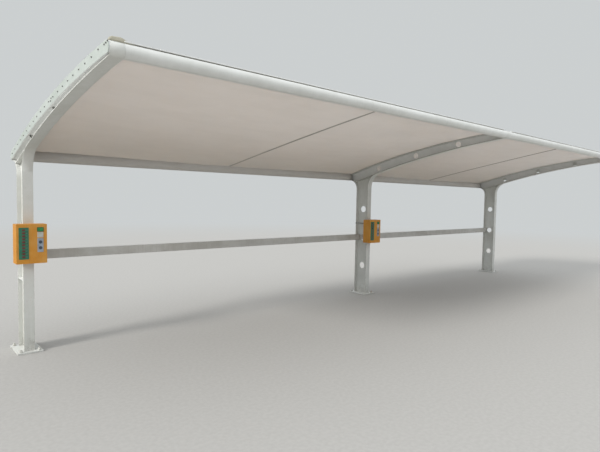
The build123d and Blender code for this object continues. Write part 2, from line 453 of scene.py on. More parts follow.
# %% [markdown]
# ### Chips and rust
# Where paint is knocked off steel it rusts, in small spots with a soft brown halo. Two
# noises are multiplied, so that spots come in clusters and most of the steel stays clean.

# %% Chips and rust
net, given = effect("chips and rust", Amount=0.3, Size=0.012)
where = net.place()
spots = net.noise(where, net.maths("DIVIDE", 1.0, given["Size"]), 5.0, 0.65)
cluster = net.fade(net.noise(where, 3.1), 0.45, 0.68)
edge = net.less(0.84, net.times(cluster, given["Amount"], 0.34))
full = net.plus(edge, 0.03)
rust = net.gives(Core=net.fade(spots, edge, full),
                 Halo=net.fade(spots, net.less(edge, 0.1), full))

# %% [markdown]
# ### Plate edges
# The flanges are cut plates. Their long edges lose paint first and look a little darker
# and rougher. All three frames have the same width, so the distance from the nearest
# frame's middle plane finds those edges. On the middle frame's arm a thin dark line along
# the edges is painted shade, standing in for the shade that falls on the edges there.

# %% Plate edges
rim = 0.8 * millimetre            # width of the dark line of painted shade
arm_low, arm_full = 1.85, 2.1     # heights between which the arm begins
net, given = effect("plate edges", Depth=0.004)
where = net.place()
x, _, z = net.split(where)
away = [net.maths("ABSOLUTE", net.less(x, post_x[side])) for side in sides]
nearest = net.maths("MINIMUM", net.maths("MINIMUM", away[0], away[1]), away[2])
worn = net.times(net.fade(nearest, net.less(half_flange, given["Depth"]), half_flange),
                 net.fade(net.noise(where, 40.0, 4.0), 0.42, 0.66))
at_rim = net.maths("GREATER_THAN", nearest, half_flange - rim)
shaded_middle_arm = net.times(net.fade(z, arm_low, arm_full), net.maths("LESS_THAN", away[1], 1.0))
uneven = net.fade(net.noise(where, 5.0, 4.0), 0.25, 0.6, 0.55, 1.0)
edges = net.gives(Mask=worn, Grime=net.times(at_rim, shaded_middle_arm, uneven))

# %% [markdown]
# ### Woven cloth
# The membrane is polyester yarn under a smooth coat, so the weave shows only as a faint
# grid of threads. The cloth carries its own flat coordinates in metres, and two waves
# across them make warp and weft at the right pitch, however the roof bends.

# %% Woven cloth
net, given = effect("woven cloth", Pitch=0.002)
flat = net.add("UVMap", {}, uv_map="cloth")[0]
turns = net.maths("DIVIDE", 2 * pi, given["Pitch"])
warp, weft = (net.maths("SINE", net.times(way, turns)) for way in net.split(flat)[:2])
folds = net.noise(net.stretched(flat, (1.3, 5.0, 1.0)), 1.0, 4.0)
weave = net.gives(Height=net.plus(net.times(warp, weft), 0.5),
                  Crease=net.fade(folds, 0.42, 0.66))

# %% [markdown]
# ## The finishes
# The steel's paint is an off-white that has gone slightly green and grey outdoors. Each
# layer of weather is mixed over it in the order in which it arrived: the tone of the coat,
# the worn edges, the rain, the grit at the foot and last the rust. With the worn edges comes
# a thin dark line of painted shade. Plain numbers such as specular level are set on the
# shader itself.

# %% Painted steel
# The dust and grit colours also serve as painted shade: on the cloth towards the rear and in
# its creases, and in a thin line along the middle arm's edges.
dust_and_shade_colour = (0.33, 0.31, 0.26)
grit_and_shade_colour = (0.20, 0.175, 0.14)
rust_core = (0.11, 0.035, 0.012)
rust_halo = (0.42, 0.20, 0.075)


def new_finish(name, **plain):
    """Starts a material. Plain holds constant values of the shader, by socket name."""
    material = bpy.data.materials.new(name)
    material.use_nodes = True
    shader = material.node_tree.nodes["Principled BSDF"]
    for label, value in plain.items():
        shader.inputs[label.replace("_", " ")].default_value = value
    finishes[name] = material
    return Net(material.node_tree), shader


def joined(net, shader, colour, roughness, height, depth, strength):
    """Feeds a finish's colour, roughness and bump to its shader."""
    net.feed(colour, shader.inputs["Base Color"])
    net.feed(roughness, shader.inputs["Roughness"])
    bump = net.add("Bump", {"Height": height, "Distance": depth, "Strength": strength})[0]
    net.feed(bump, shader.inputs["Normal"])


def rusted(net, colour, amount, size, halo):
    """Lays spots of rust with their halo over a colour."""
    chips = net.use(rust, Amount=amount, Size=size)
    colour = net.blend(net.times(chips["Halo"], halo), colour, rust_halo)
    return net.blend(chips["Core"], colour, rust_core), chips["Core"]


def painted_steel(name, fresh, aged, rain, rusty, peel=0.004, edge_wear_and_shade=False, grit=0.75):
    """Outdoor paint on steel, from fresh to aged, with rain streaks, grit and rust."""
    net, shader = new_finish(name, Specular_IOR_Level=0.45)
    coat = net.use(skin, Peel=peel)
    colour = net.blend(coat["Tone"], fresh, aged)
    if edge_wear_and_shade:
        edge = net.use(edges)
        colour = net.blend(net.times(edge["Mask"], 0.5), colour, dust_and_shade_colour)
        # Painted shade: a thin dark line along the edges of the middle arm.
        colour = net.blend(net.times(edge["Grime"], 0.42), colour, grit_and_shade_colour)
    wash = net.times(net.use(streaks, Width=0.018, Length=0.55)["Mask"], rain)
    colour = net.blend(wash, colour, dust_and_shade_colour)
    dirt = net.times(net.use(splash, Height=0.34)["Mask"], grit)
    colour, bare = rusted(net, net.blend(dirt, colour, grit_and_shade_colour), rusty, 0.011, 0.6)
    rough = net.plus(net.plus(0.34, net.times(coat["Tone"], 0.16)),
                     net.times(net.plus(wash, dirt), 0.5))
    joined(net, shader, colour, net.maths("MINIMUM", rough, 0.9),
           net.less(coat["Height"], net.times(bare, 0.8)), 0.0006, 0.35)


painted_steel("frame_paint", (0.745, 0.75, 0.72), (0.68, 0.685, 0.645), 0.13, 0.45,
              edge_wear_and_shade=True)
painted_steel("foot_paint", (0.76, 0.765, 0.735), (0.69, 0.695, 0.66), 0.1, 0.6, grit=0.225)
# A whiter copy of the frame's paint, as painted light: it lifts the shaded arm webs, the
# channel plates and the front battens.
painted_steel("lightened_paint", (0.84, 0.845, 0.83), (0.79, 0.795, 0.775), 0.05, 0.1, grit=0.0)
painted_steel("pipe_paint", (0.765, 0.77, 0.745), (0.695, 0.70, 0.67), 0.10, 0.3)
# Darker than the frame's paint, as painted shade on the rear pipe and the lower rail. Its rain
# streaks and rust are dirt as on the other paints.
painted_steel("dust_and_shade_paint", (0.62, 0.61, 0.58), (0.52, 0.505, 0.47), 0.25, 0.4)
painted_steel("clamp_paint", (0.55, 0.59, 0.555), (0.47, 0.515, 0.475), 0.12, 0.2, peel=0.006)
painted_steel("weld_paint", (0.72, 0.725, 0.69), (0.62, 0.62, 0.58), 0.15, 0.6, peel=0.002)
print("Mixed seven paints")

# %% [markdown]
# ### Coated cloth
# From below the membrane is a warm, even grey-white with a faint shimmer of yarn. Dust
# gathers in soft clouds. Towards the rear and along its creases the cloth is painted a
# little darker, which is painted shade.
# The upper side is greyer, with pale tracks where the rain has run. Its gloss is low and
# comes from the coat, with a little sheen at grazing angles.

# %% Coated cloth
def coated_cloth(name, fresh, aged, specks, glow=0.0, top_dust=0.0):
    """Coated yarn. Glow is the share of light that goes through the cloth."""
    net, shader = new_finish(name, Specular_IOR_Level=0.3, Sheen_Weight=0.06,
                             Sheen_Roughness=0.5, Subsurface_Weight=glow,
                             Subsurface_Radius=(1.0, 0.95, 0.90), Subsurface_Scale=0.0026)
    fabric = net.use(weave, Pitch=0.0022)
    where = net.place()
    cloudy = net.both(net.noise(where, 0.9, 5.0), 0.7, net.noise(where, 7.0, 4.0), 0.3)
    colour = net.blend(net.fade(cloudy, 0.38, 0.64), fresh, aged)
    # Painted shade: the cloth grows darker towards the rear.
    rear_shade = net.fade(net.split(where)["Y"], -1.7, 0.3, 0.0, 0.27)
    colour = net.blend(rear_shade, colour, dust_and_shade_colour)
    # Painted shade: the cloth is a little darker along its creases.
    colour = net.blend(net.times(fabric["Crease"], 0.05), colour, dust_and_shade_colour)
    if top_dust:
        normal = net.add("NewGeometry", {})["Normal"]
        upward = net.fade(net.split(normal)["Z"], 0.4, 0.7)
        tracks = net.fade(net.noise(net.stretched(where, (3.2, 0.7, 0.7)), 1.0, 5.0),
                          0.3, 0.7, 0.68, 1.0)
        colour = net.blend(net.times(tracks, upward, top_dust), colour, dust_and_shade_colour)
    spots = net.fade(net.noise(where, 130.0), 0.66, 0.74)
    colour = net.blend(net.times(spots, specks), colour, grit_and_shade_colour)
    colour = net.blend(net.times(fabric["Height"], 0.08), colour, aged)
    joined(net, shader, colour, net.plus(0.52, net.times(cloudy, 0.2)),
           net.both(fabric["Height"], 0.25, fabric["Crease"], 0.5), 0.0006, 0.4)


coated_cloth("membrane_cloth", (0.768, 0.727, 0.702), (0.746, 0.704, 0.678), 0.2, glow=1.0,
             top_dust=0.5)
# The hem's cloth is painted lighter than the sheet, as painted light that lifts the shade along
# the rear pipe.
coated_cloth("hem_cloth_lightened", (0.84, 0.79, 0.752), (0.78, 0.73, 0.69), 0.3, glow=1.0)
# The lap's dark cloth is painted shade: the double cloth lets less light through.
coated_cloth("lap_cloth", (0.27, 0.235, 0.205), (0.21, 0.185, 0.16), 0.35)
coated_cloth("aged_cloth", (0.50, 0.475, 0.385), (0.37, 0.345, 0.26), 0.5)
coated_cloth("edge_cloth", (0.83, 0.84, 0.83), (0.77, 0.78, 0.765), 0.25)
# This dark cloth is painted shade: on the left lap, and on the front hem's roll under the
# battens.
coated_cloth("painted_shade_cloth", (0.40, 0.39, 0.36), (0.30, 0.29, 0.26), 0.5)
print("Mixed six cloths")

# %% [markdown]
# ### Fasteners and the small metal
# Screws and anchor nuts are plated steel that has gone dull and dark. Grain and small
# stains keep them from looking like plastic, and metal is a plain number on the shader.

# %% Plated steel
def plated_steel(name, bright, dull, rusty, metal):
    net, shader = new_finish(name, Metallic=metal, Specular_IOR_Level=0.5)
    where = net.place()
    grain = net.noise(where, 240.0)
    colour = net.blend(net.fade(net.noise(where, 45.0, 4.0), 0.35, 0.65), bright, dull)
    colour, _ = rusted(net, colour, rusty, 0.006, 0.7)
    joined(net, shader, colour, net.plus(0.38, net.times(grain, 0.3)), grain, 0.0003, 0.3)


plated_steel("screw_steel", (0.20, 0.20, 0.19), (0.10, 0.098, 0.092), 0.8, 0.3)
plated_steel("anchor_steel", (0.66, 0.66, 0.62), (0.52, 0.51, 0.47), 1.0, 0.0)
plated_steel("strap_steel", (0.40, 0.40, 0.38), (0.26, 0.26, 0.24), 0.5, 0.7)
print("Mixed three plated steels")

# %% [markdown]
# ### The cabinet's finishes
# The cabinet is powder coated, which gives a slightly pebbled gloss, and its colour has
# bleached a little. Its green panel is moulded and matt. The small plates on the right are
# plain: a green display window, a pale plate and a blue-grey one.

# %% Powder coat and moulded plastic
def powder_coat(name, fresh, bleached):
    net, shader = new_finish(name, Specular_IOR_Level=0.18)
    coat = net.use(skin, Peel=0.0035)
    colour = net.blend(coat["Tone"], fresh, bleached)
    wash = net.times(net.use(streaks, Width=0.008, Length=0.16)["Mask"], 0.30)
    colour = net.blend(wash, colour, grit_and_shade_colour)
    scuffs = net.fade(net.noise(net.stretched(net.place(), (6.0, 6.0, 60.0)), 4.0, 4.0),
                      0.66, 0.76)
    colour = net.blend(net.times(scuffs, 0.35), colour, bleached)
    joined(net, shader, colour, net.plus(0.42, net.times(coat["Tone"], 0.2)),
           coat["Height"], 0.0005, 0.4)


def moulded(name, colour, faded, gloss):
    """Moulded plastic with a fine grain, faded in patches."""
    net, shader = new_finish(name, Specular_IOR_Level=0.4)
    where = net.place()
    tone = net.fade(net.noise(where, 22.0, 4.0), 0.35, 0.65)
    joined(net, shader, net.blend(tone, colour, faded), net.plus(gloss, net.times(tone, 0.15)),
           net.noise(where, 900.0, 2.0), 0.0002, 0.4)


powder_coat("cabinet_yellow", (0.64, 0.27, 0.036), (0.69, 0.345, 0.08))
moulded("panel_green", (0.028, 0.155, 0.085), (0.045, 0.20, 0.12), 0.5)
moulded("window_red", (0.115, 0.032, 0.03), (0.16, 0.05, 0.042), 0.25)
moulded("socket_black", (0.02, 0.022, 0.024), (0.045, 0.045, 0.045), 0.4)
moulded("plate_pale", (0.62, 0.61, 0.56), (0.50, 0.49, 0.44), 0.4)
moulded("plate_blue_grey", (0.36, 0.41, 0.47), (0.28, 0.32, 0.37), 0.35)
moulded("mark_grey", (0.17, 0.27, 0.22), (0.13, 0.21, 0.17), 0.4)
moulded("pad_slate", (0.075, 0.09, 0.12), (0.05, 0.062, 0.085), 0.3)
moulded("display_green", (0.02, 0.20, 0.06), (0.04, 0.28, 0.09), 0.15)
print(f"{len(finishes)} finishes in all")

# %% [markdown]
# ## Dress the carried-over steel
# The frame's plates, pipes and cabinets have the right shape already, so they keep their
# meshes and only change their finish. A bevel of a millimetre or two rounds the cut edges,
# because a real edge catches a line of light. The weld modifier in front of it joins the
# corners that the file format had split. The foot is a plate with four holes, and its flat
# faces are made whole first, since the bevel would follow the splinters between the holes.

# %% Give each CAD piece its finish and soft edges
# The arm webs and channel plates get the whiter paint, which is painted light. The rear pipe
# and rail get the darker one, which is painted shade.
finish_kinds = {"foot_paint": "foot", "lightened_paint": "arm_web channel_plate",
                "frame_paint": "post_web head_stiffener front_flange rear_flange top_plate",
                "pipe_paint": "front_pipe", "dust_and_shade_paint": "rear_pipe lower_rail",
                "clamp_paint": "edge_clamp ridge_clamp", "strap_steel": "cabinet_strap",
                "cabinet_yellow": "cabinet_case cabinet_door",
                "panel_green": "cabinet_socket_panel", "membrane_cloth": "membrane"}
node_finish = {kind: finish for finish, kinds in finish_kinds.items() for kind in kinds.split()}
edge_rounding = {"foot": 1.5, "front_flange": 1.2, "rear_flange": 1.2, "edge_clamp": 1.5,
                 "ridge_clamp": 1.2, "lower_rail": 4.0, "cabinet_case": 3.0,
                 "cabinet_door": 1.2, "cabinet_socket_panel": 1.5}     # in millimetres
join_distance = 0.05 * millimetre
flat_angle, sharp_angle = radians(0.3), radians(40)


def soften(made, width, flatten):
    """Rounds the sharp edges of a piece by a width in millimetres."""
    join = made.modifiers.new("join corners", "WELD")
    join.merge_threshold = join_distance
    if flatten:
        whole = made.modifiers.new("whole flat faces", "DECIMATE")
        whole.decimate_type = "DISSOLVE"
        whole.angle_limit = flat_angle
    round_off = made.modifiers.new("round edges", "BEVEL")
    round_off.width = width * millimetre
    round_off.segments = 2
    round_off.limit_method = "ANGLE"
    round_off.angle_limit = sharp_angle
    round_off.harden_normals = True


for name, node in nodes.items():
    kind = name.rsplit("_", 1)[0]
    for slot in node.material_slots:
        slot.material = finishes[node_finish[kind]]
    if kind in edge_rounding:
        soften(node, edge_rounding[kind], flatten=kind == "foot")
print(f"Dressed {len(nodes)} pieces")

# %% [markdown]
# ## The membrane
# The cloth of each bay is one sheet. It lies flat on both frames, is pulled over the pipes
# and turned down under the edge clamp of the end frame. It could be simulated, but a
# tensioned sheet has no free folds, so its line is taken from the roof function and only
# the small things are added: a slow flutter, short puckers between the battens along both
# pipes, and stress folds that fan out from the frames' corners.

# %% Bays and the small waves of the cloth
hem_turn = 19                     # degrees that the hem goes on round each pipe
skirt_height = 70 * millimetre
ridge_gap = 2 * millimetre        # from the middle frame's centre to each sheet
pucker_pitch = 0.25
flutter_height, pucker_height, fold_height = 2.2, 1.6, 3.4    # in millimetres
pucker_reach, fold_reach = 0.16, 0.45    # where they have fallen to a third
bays = {"left": (post_x["left"], post_x["middle"], -1),
        "right": (post_x["right"], post_x["middle"], 1)}


def free_span(bay):
    """Where the cloth leaves the end frame and where it meets the middle one, along X."""
    outer, inner, outward = bays[bay]
    return outer - outward * half_flange, inner + outward * half_flange


def share_at(bay, x):
    """How far a place is from the frames: 0 on a flange and 1 at mid bay."""
    start, end = free_span(bay)
    u = min(max((x - start) / (end - start), 0.0), 1.0)
    return 4 * u * (1 - u)


def ripple(bay, x, along):
    """Small rise of the cloth over its drawn line. It dies out where the cloth is held."""
    free = min(1.0, share_at(bay, x) * 4)
    flutter = flutter_height * sin(x * 2.1 + along * 3.0) * sin(pi * along) * free
    pucker = fan = 0.0
    for hem in (along * roof_length, (1 - along) * roof_length):
        pucker += pucker_height * free * (1 + cos(2 * pi * x / pucker_pitch)) \
            * min(hem / 0.03, 1) * 2.7 ** (-hem / pucker_reach)
        for corner_x in free_span(bay):
            away = abs(x - corner_x)
            spread = away / (hem + away + 0.02)
            fan += fold_height * sin(spread * 17) * 2.7 ** (-hypot(away, hem) / fold_reach) \
                * min(away / 0.12, 1) * min(hem / 0.1, 1)
    return (max(flutter, -1.0) + pucker + fan) * millimetre * free


def cloth_point(bay, x, along, lift=0.0):
    """Place on the cloth's underside. Along may run a little past both pipes."""
    share = share_at(bay, x)
    front, rear = hems(share)
    past_front, past_rear = max(-along, 0.0), max(along - 1, 0.0)
    if past_front or past_rear:
        pipe, out_of, way = (front_pipe, front, -1) if past_front else (rear_pipe, rear, 1)
        turn = radians(hem_turn) * (past_front + past_rear) * way
        turned = Vector((out_of.x * cos(turn) + out_of.y * sin(turn),
                         out_of.y * cos(turn) - out_of.x * sin(turn)))
        place = pipe + turned * (pipe_radius + cloth_seat + lift)
    else:
        place = roof_line(share, along, cloth_seat + lift + ripple(bay, x, along))
    return Vector((x, *place))


print(f"A bay's cloth is free from {free_span('left')[0]:.2f} to {free_span('left')[1]:.2f} m")

# %% One sheet of cloth for each bay
station_gap = 0.05
sheet_rows, skirt_steps = 56, 48


def bay_stations(bay):
    """Places along X from the outer edge of the end frame to the middle frame."""
    outer, inner, outward = bays[bay]
    marks = [outer + outward * half_flange, *free_span(bay), inner + outward * ridge_gap]
    stations = []
    for a, b in zip(marks, marks[1:]):
        steps = ceil(abs(b - a) / station_gap)
        stations += [a + (b - a) * i / steps for i in range(steps)]
    return stations + [marks[-1]]


def membrane_sheet(bay):
    outer, _, outward = bays[bay]
    stations = bay_stations(bay)
    # from pipe to pipe, and round each pipe in three steps more
    rows = [-1, -0.66, -0.33, *(i / sheet_rows for i in range(sheet_rows + 1)), 1.33, 1.66, 2]
    corners = [cloth_point(bay, x, along) for x in stations for along in rows]
    flat = [(x, along * roof_length) for x in stations for along in rows]
    faces = grid(len(stations), len(rows), outward < 0)
    # the skirt hangs outside the end frame, between the plate and its clamp
    faces += grid(3, skirt_steps + 1, outward < 0, len(corners))
    reach, x = 2 * pipe_radius / roof_length, outer + outward * (half_flange + cloth_seat)
    for depth in (0.0, skirt_height / 2, skirt_height):
        for j in range(skirt_steps + 1):
            along = reach + (1 - 2 * reach) * j / skirt_steps
            corners.append(Vector((x, *roof_line(0, along, cloth_seat - depth))))
            flat.append((x + outward * depth, along * roof_length))
    cloth = piece(f"membrane_cloth_{bay}", corners, faces, "membrane_cloth", "membrane",
                  smooth=True, flat=flat)
    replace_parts(thicken(cloth, cloth_thickness, 1), f"membrane_{bay}")
    print(f"{cloth.name}: {len(stations)} by {len(rows)} corners")
    return cloth


cloths = {bay: membrane_sheet(bay) for bay in bays}

# %% [markdown]
# ## Welded laps and hems
# The cloth comes in strips that are welded edge over edge. The lap is double cloth and
# lets less light through, so from below it reads as a narrow darker line at mid bay. It
# runs a little askew. Along the rear pipe the hem goes on round the pipe's front and is
# welded to the sheet, so that the pipe is clad in cloth. Thin strips that follow the
# cloth's underside are the plain way to show both.

# %% Lay the laps under the cloth
lap_width = {"left": 0.034, "right": 0.055}
# Both lap finishes are dark cloth, painted shade for the light that a lap holds back.
lap_finish = {"left": "painted_shade_cloth", "right": "lap_cloth"}
lap_offset = {"left": (0.20, -0.02), "right": (0.04, 0.02)}   # from mid bay, front and rear
lap_thickness = 0.9 * millimetre
lap_tuck = 0.2 * millimetre       # into the sheet
lap_margin, lap_steps = 0.02, 56  # share left free at each end


def lap(bay):
    """Thin strip of double cloth under the sheet."""
    at_front, at_rear = (sum(bays[bay][:2]) / 2 + offset for offset in lap_offset[bay])
    half = lap_width[bay] / 2
    shape, rings = Shape(), []
    for i in range(lap_steps + 1):
        along = lap_margin + (1 - 2 * lap_margin) * i / lap_steps
        x = at_front + (at_rear - at_front) * along
        rings.append([cloth_point(bay, x + side, along, lift) for side, lift in (
            (-half, -lap_thickness), (half, -lap_thickness), (half, lap_tuck),
            (-half, lap_tuck))])
    shape.rings(rings)
    print(f"Lap from {at_front:.2f} to {at_rear:.2f} m in the {bay} bay")
    return shape.made(f"membrane_lap_{bay}", lap_finish[bay], "membrane", flat=(0, 1))


trimmings = {bay: [lap(bay)] for bay in bays}

# %% Wrap the rear hems round the pipe
hem_reach = 0.050                 # forward of the rear pipe
hem_margin = 0.002                # free of the frames
hem_steps = 13


def rear_hem(bay):
    """Cloth from the sheet's underside onto the rear pipe and round to its lowest line."""
    low_x, high_x = sorted(free_span(bay))
    low_x, high_x = low_x + hem_margin, high_x - hem_margin
    steps = ceil((high_x - low_x) / 0.1)
    radius = pipe_radius + cloth_seat
    corners = []
    for i in range(steps + 1):
        x = low_x + (high_x - low_x) * i / steps
        start = cloth_point(bay, x, 1 - hem_reach / roof_length, -lap_tuck)
        away = start.yz - rear_pipe
        touch = atan2(away.x, away.y) - acos(radius / away.length)
        corners.append(start)
        for j in range(hem_steps):
            turn = touch + (-pi - touch) * j / (hem_steps - 1)
            corners.append(Vector((x, *(rear_pipe + Vector((sin(turn), cos(turn))) * radius))))
    count = hem_steps + 1
    faces = [(a, a + count, a + count + 1, a + 1)
             for a, *_ in grid(steps + 1, count)]
    made = piece(f"rear_hem_{bay}", corners, faces, "hem_cloth_lightened", "membrane", smooth=True,
                 flat=(0, 2))
    return thicken(made, lap_thickness, 1)


for bay in bays:
    trimmings[bay].append(rear_hem(bay))
print("Wrapped the rear hems round the pipe")

# %% [markdown]
# ## The edge that is turned in
# Below the clamp of the left frame the cloth doesn't hang free. Its edge is turned in to
# the web, which closes the pocket behind the clamp. It is a narrow strip that slopes
# inward, a little wavy because the screws above pull it, and it catches light from
# below. Two small openings show dark in it, in front of the web's first holes. The right
# frame is open there. How deep the strip may reach is measured on the web's outline, so
# that it never comes out through the lower flange.

# %% Turn the cloth's edge in to the web
turn_in_drop = 32 * millimetre    # lower at the web than at the clamp
clamp_height = 88 * millimetre
clamp_tuck = 6.5 * millimetre     # outward of the clamp's inner face
edge_past = 0.01                  # share of the roof's line past each pipe
edge_steps, edge_across = 360, 12
edge_wave = 1.5 * millimetre
openings = [(-0.455, 0.60, 0.036, 0.34), (-1.25, 0.48, 0.026, 0.22)]   # y, share, half sizes


def web_depth(loop, along):
    """Distance from the crown line down to the far rim of the arm's web."""
    start = roof_line(0, along)
    way = (crown - start).normalized()
    deepest = 0.0
    for a, b in pairs(loop):
        side_a, side_b = way.cross(a - start), way.cross(b - start)
        if side_a * side_b <= 0 and side_a != side_b:
            meets = a.lerp(b, side_a / (side_a - side_b))
            deepest = max(deepest, way.dot(meets - start))
    return deepest


def clamp_faces(side):
    """The edge clamp's inner and outer face, along X."""
    low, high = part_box(f"edge_clamp_{side}")
    return (high.x, low.x) if bays[side][2] < 0 else (low.x, high.x)


def turned_edge(side):
    """Strip of cloth from under the edge clamp down and in to the web."""
    outer, _, outward = bays[side]
    start_x = clamp_faces(side)[0] + outward * clamp_tuck
    end_x = outer + outward * (half_web + cloth_thickness)
    outline = outline_of(f"arm_web_{side}")
    top = clamp_height + cloth_thickness
    count, corners = edge_across + 1, []
    for i in range(edge_steps + 1):
        along = (1 + 2 * edge_past) * i / edge_steps - edge_past
        room = web_depth(outline, along)
        if room < top:
            continue
        wave = edge_wave * sin(along * 128) * (0.6 + 0.4 * sin(along * 31))
        fall = min(turn_in_drop, room - top)
        for j in range(count):
            v = j / edge_across
            down = top + fall * v + wave * sin(pi * v) * fall / turn_in_drop
            corners.append(Vector((start_x + (end_x - start_x) * v,
                                   *roof_line(0, along, -down))))

    def opened(corner):
        y, v = corners[corner].y, (corner % count + 0.5) / edge_across
        return any(((y - at) / wide) ** 2 + ((v - mid) / tall) ** 2 < 1
                   for at, mid, wide, tall in openings)

    faces = [face for face in grid(len(corners) // count, count, outward > 0)
             if not opened(min(face))]
    made = piece(f"turned_edge_{side}", corners, faces, "edge_cloth", "membrane", smooth=True,
                 flat=(0, 1))
    return thicken(made, cloth_thickness, 0)


trimmings["left"].append(turned_edge("left"))
print("Turned one edge in")

# %% [markdown]
# ### The packing behind the clamps
# Between a frame and its clamp there is a slit of a few millimetres, where the cloth goes
# down. No daylight shows through it on the real shelter, so it is taken to be packed. The
# clamp's outline, moved inward a little, gives the path of a thin band that closes it.

# %% Pack the slits behind the clamps
in_frame, in_clamp = 0.5 * millimetre, 0.2 * millimetre     # how far the packing goes in
packing_rims = 0.6 * millimetre, 2 * millimetre             # inside the clamp's outline


def clamp_packing(side):
    """Band that closes the slit between the frame's edge and the clamp, all round."""
    outer, _, outward = bays[side]
    near = outer + outward * (half_flange - in_frame)
    far = clamp_faces(side)[0] + outward * in_clamp
    outline = outline_of(f"edge_clamp_{side}")
    shape = Shape()
    shape.rings([[Vector((near, *a)), Vector((far, *a)), Vector((far, *b)), Vector((near, *b))]
                 for a, b in zip(*(inset(outline, rim) for rim in packing_rims))], closed=True)
    return shape.made(f"clamp_packing_{side}", "edge_cloth", "membrane", flat=(1, 2))


for bay in bays:
    trimmings[bay].append(clamp_packing(bay))
print("Packed two clamps")

# %% [markdown]
# ## Corner folds
# Where the cloth turns round a frame's tip there is more cloth than room, and it is folded
# into a low hump that stands on the corner and has gone brown with dust. It could be
# sculpted. Here a rounded patch is drawn as a grid whose height swells in the middle, with
# a few creases running down to its edge.

# %% Fold the cloth over the frames' tips
hump_length, hump_depth, hump_height = 0.185, 0.13, 0.031
hump_shoulder, hump_slope = 0.16, 0.48   # shares of the length where it is full
hump_across, hump_down = 28, 16          # steps of its grid
hump_seat = 0.3 * millimetre             # over the cloth


def corner_fold(bay):
    """Low folded hump on a frame's tip. It reaches from the outer edge along the pipe."""
    outer, _, outward = bays[bay]
    corners, flat = [], []
    for i in range(hump_across + 1):
        u = i / hump_across
        x = outer + outward * half_flange - outward * hump_length * u
        for j in range(hump_down + 1):
            v = j / hump_down
            swell = sqrt(min(u / hump_shoulder, 1)) * sin(pi * v) ** 0.6 \
                * (1 - max(u - hump_slope, 0) / (1 - hump_slope))
            crease = 1 + 0.10 * sin(u * 15 + v * 3) * v
            along = -1.0 + (1.0 + hump_depth / roof_length) * v
            corner = cloth_point(bay, x, along, cloth_thickness)
            corner.z += hump_height * swell * crease + hump_seat
            corners.append(corner)
            flat.append((x, along * roof_length))
    faces = grid(hump_across + 1, hump_down + 1, outward > 0)
    made = piece(f"corner_fold_{bay}", corners, faces, "aged_cloth", "membrane", smooth=True,
                 flat=flat)
    return thicken(made, cloth_thickness, -1)


for bay in bays:
    trimmings[bay].append(corner_fold(bay))
print("Folded two corners")

# %% [markdown]
# ### The size that the cloth is cut to
# A stretched sheet hides how large it is when it lies flat. The length is the bay with the
# skirt, and the depth goes over the roof from hem to hem.

# %% [markdown]
# ## Battens along the pipes
# Short flat bars screwed into the pipes hold the cloth's front and rear hems. They are cut
# to about 250 mm, and a narrow gap between them lets them follow the pipe. At the front the
# cloth's edge is rolled round a rope first, and the bars stand on that roll. The roll is
# painted dark, as painted shade, so from below a dark line parts the white pipe from the row
# of bars. Each bar is placed on the pipe's own curve at its two ends, so that the row turns
# with the hem.

# %% Screw short battens over the hems
batten_length, batten_pitch, batten_width = 0.244, 0.25, 0.030
batten_thickness = {"rear": 3.5 * millimetre, "front": 8 * millimetre}
batten_finish = {"rear": "clamp_paint", "front": "lightened_paint"}
batten_chamfer = 0.8 * millimetre
batten_turn = 0.42                # of the hem's turn round the pipe
batten_screw = 0.075              # from the middle of a batten
roll_radius = 3.2 * millimetre    # of the front hem, rolled round a rope
roll_sink = 0.3 * millimetre      # of a front batten into the roll
roll_step, roll_sides = 0.0625, 10
small_head = in_metres([(0.05, 0), (6.2, 0), (6.2, 1), (5, 1.4), (5, 3.2), (3.9, 4.4),
                        (0.05, 4.6)])


def hem_frame(bay, x, row):
    """Place on a hem's upper face, the way across it and the way up."""
    rear = row == "rear"
    here = cloth_point(bay, x, 1 + batten_turn if rear else -batten_turn, cloth_thickness)
    pipe = rear_pipe if rear else front_pipe
    up = Vector((0, here.y - pipe.x, here.z - pipe.y)).normalized()
    return here, Vector((0, up.z, -up.y)), up


def hem_roll(bay, low_x, high_x):
    """The front edge of the cloth, rolled round a rope that lies on the pipe."""
    shape, rings = Shape(), []
    steps = ceil((high_x - low_x) / roll_step)
    turns = [2 * pi * j / roll_sides for j in range(roll_sides)]
    for i in range(steps + 1):
        here, across, up = hem_frame(bay, low_x + (high_x - low_x) * i / steps, "front")
        size = roll_radius * (1 + 0.07 * sin(i * 2.4))
        rings.append([here + up * (roll_radius + size * cos(turn)) + across * size * sin(turn)
                      for turn in turns])
    shape.rings(rings)
    # The roll's dark cloth is painted shade, for the shaded gap between the pipe and the bars.
    shape.made(f"hem_roll_{bay}", "painted_shade_cloth", "membrane", smooth=True, flat=(0, 2))


def batten_row(bay, row, places):
    """Bars on one pipe of a bay, with two screws in each."""
    bars, heads = Shape(), Shape()
    thickness = batten_thickness[row]
    stand = 0.0 if row == "rear" else 2 * roll_radius - roll_sink
    for x in places:
        (a, across, up), (b, _, _) = (hem_frame(bay, x + s * batten_length / 2, row)
                                      for s in (-1, 1))
        bars.bar(a + up * stand, b + up * stand, across, up, batten_width, thickness,
                 batten_chamfer)
        for s in (-1, 1):
            here, _, up = hem_frame(bay, x + s * batten_screw, row)
            heads.turned(here + up * (thickness + stand), up, small_head, 10)
    bars.made(f"{row}_battens_{bay}", batten_finish[row], "clamp_white")
    heads.made(f"{row}_batten_screws_{bay}", "screw_steel", "strap_steel")


for bay in bays:
    low_x, high_x = sorted(free_span(bay))
    count = int((high_x - low_x) / batten_pitch)
    middle_x, half_row = (low_x + high_x) / 2, count * batten_pitch / 2
    hem_roll(bay, middle_x - half_row, middle_x + half_row)
    places = [middle_x + (i - (count - 1) / 2) * batten_pitch for i in range(count)]
    for row in ("front", "rear"):
        batten_row(bay, row, places)
    print(f"{count} battens on each pipe of the {bay} bay")

